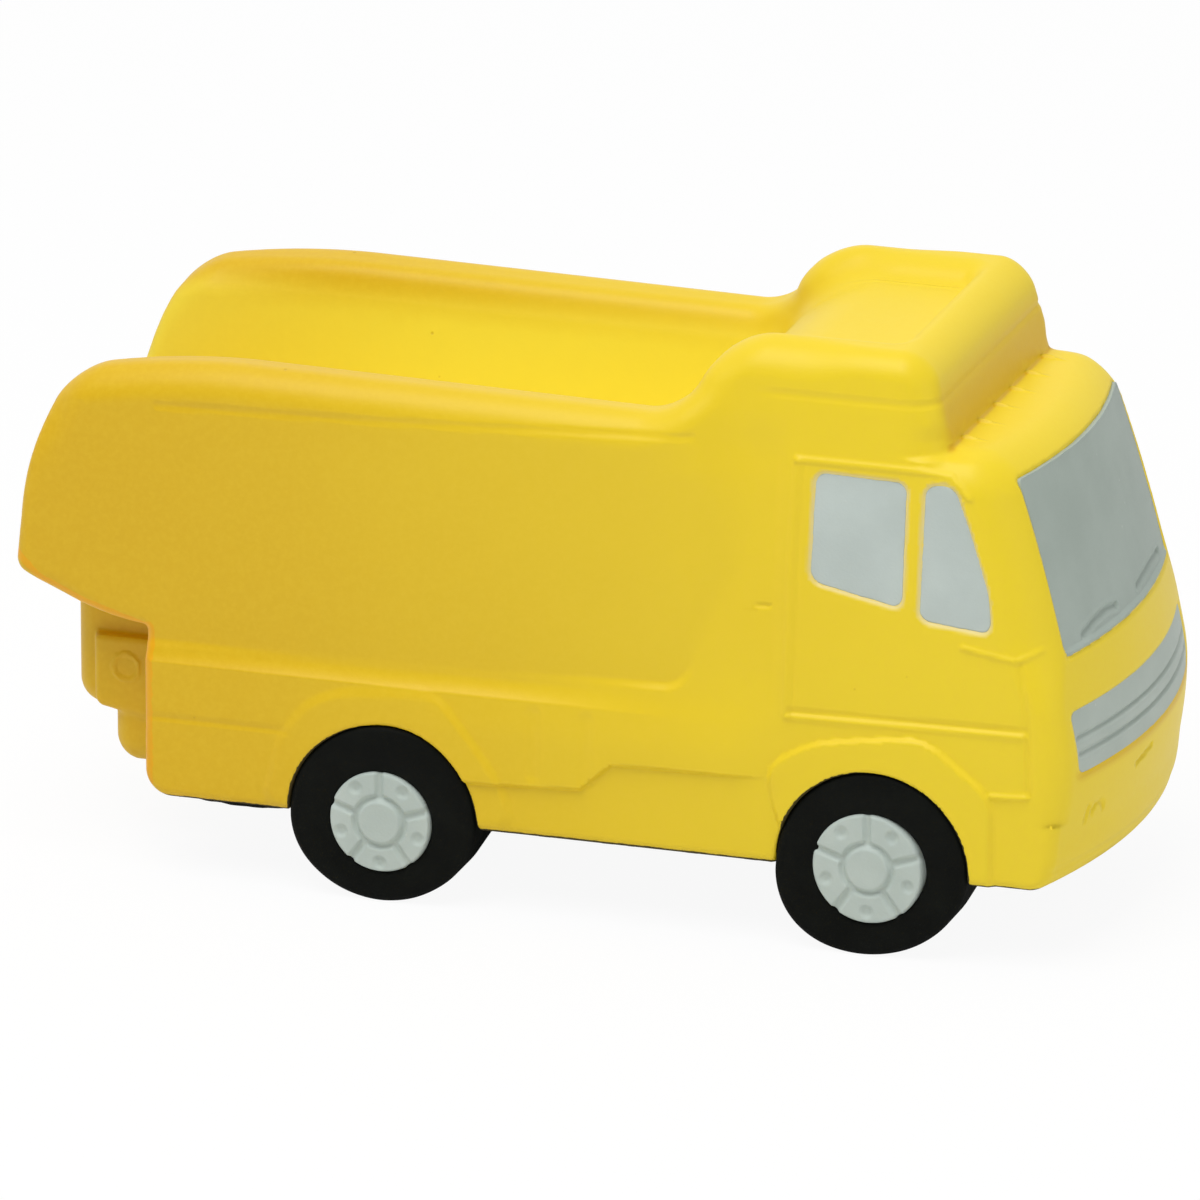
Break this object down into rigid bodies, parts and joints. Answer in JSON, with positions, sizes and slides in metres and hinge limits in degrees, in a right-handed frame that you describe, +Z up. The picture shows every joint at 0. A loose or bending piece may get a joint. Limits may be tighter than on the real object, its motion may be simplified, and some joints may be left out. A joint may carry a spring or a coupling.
{
  "type": "toy dump truck",
  "caption": "Palm-sized one-piece moulded foam dump truck: open hopper, cab with roof fairing, painted panes and grille, and wheels moulded in place.",
  "frame": {"origin": "bottom centre of the bounding box, on the ground under the middle of the toy", "axes": "+X forward to the cab, +Y to the truck's left, +Z up"},
  "size_m": [0.1036, 0.0398, 0.0558],
  "materials": {
    "foam_skin": "satin yellow foam skin",
    "foam_core": "matte open-cell foam",
    "black_coat": "matte black paint on foam",
    "tyre_black": "matte black paint on foam",
    "hub_grey": "matte light grey paint on foam",
    "pane_grey": "matte blue-grey paint on foam"
  },
  "bodies": {
    "root": {"body_skin": "foam_skin", "foam_core": "foam_core", "underside_skin": "black_coat", "windscreen": "pane_grey", "grille_band": "pane_grey", "door_window_right": "pane_grey", "quarter_window_right": "pane_grey", "door_window_left": "pane_grey", "quarter_window_left": "pane_grey", "tyre_front_right": "tyre_black", "wheel_centre_front_right": "hub_grey", "tyre_front_left": "tyre_black", "wheel_centre_front_left": "hub_grey", "tyre_rear_right": "tyre_black", "wheel_centre_rear_right": "hub_grey", "tyre_rear_left": "tyre_black", "wheel_centre_rear_left": "hub_grey"}
  },
  "joints": []
}
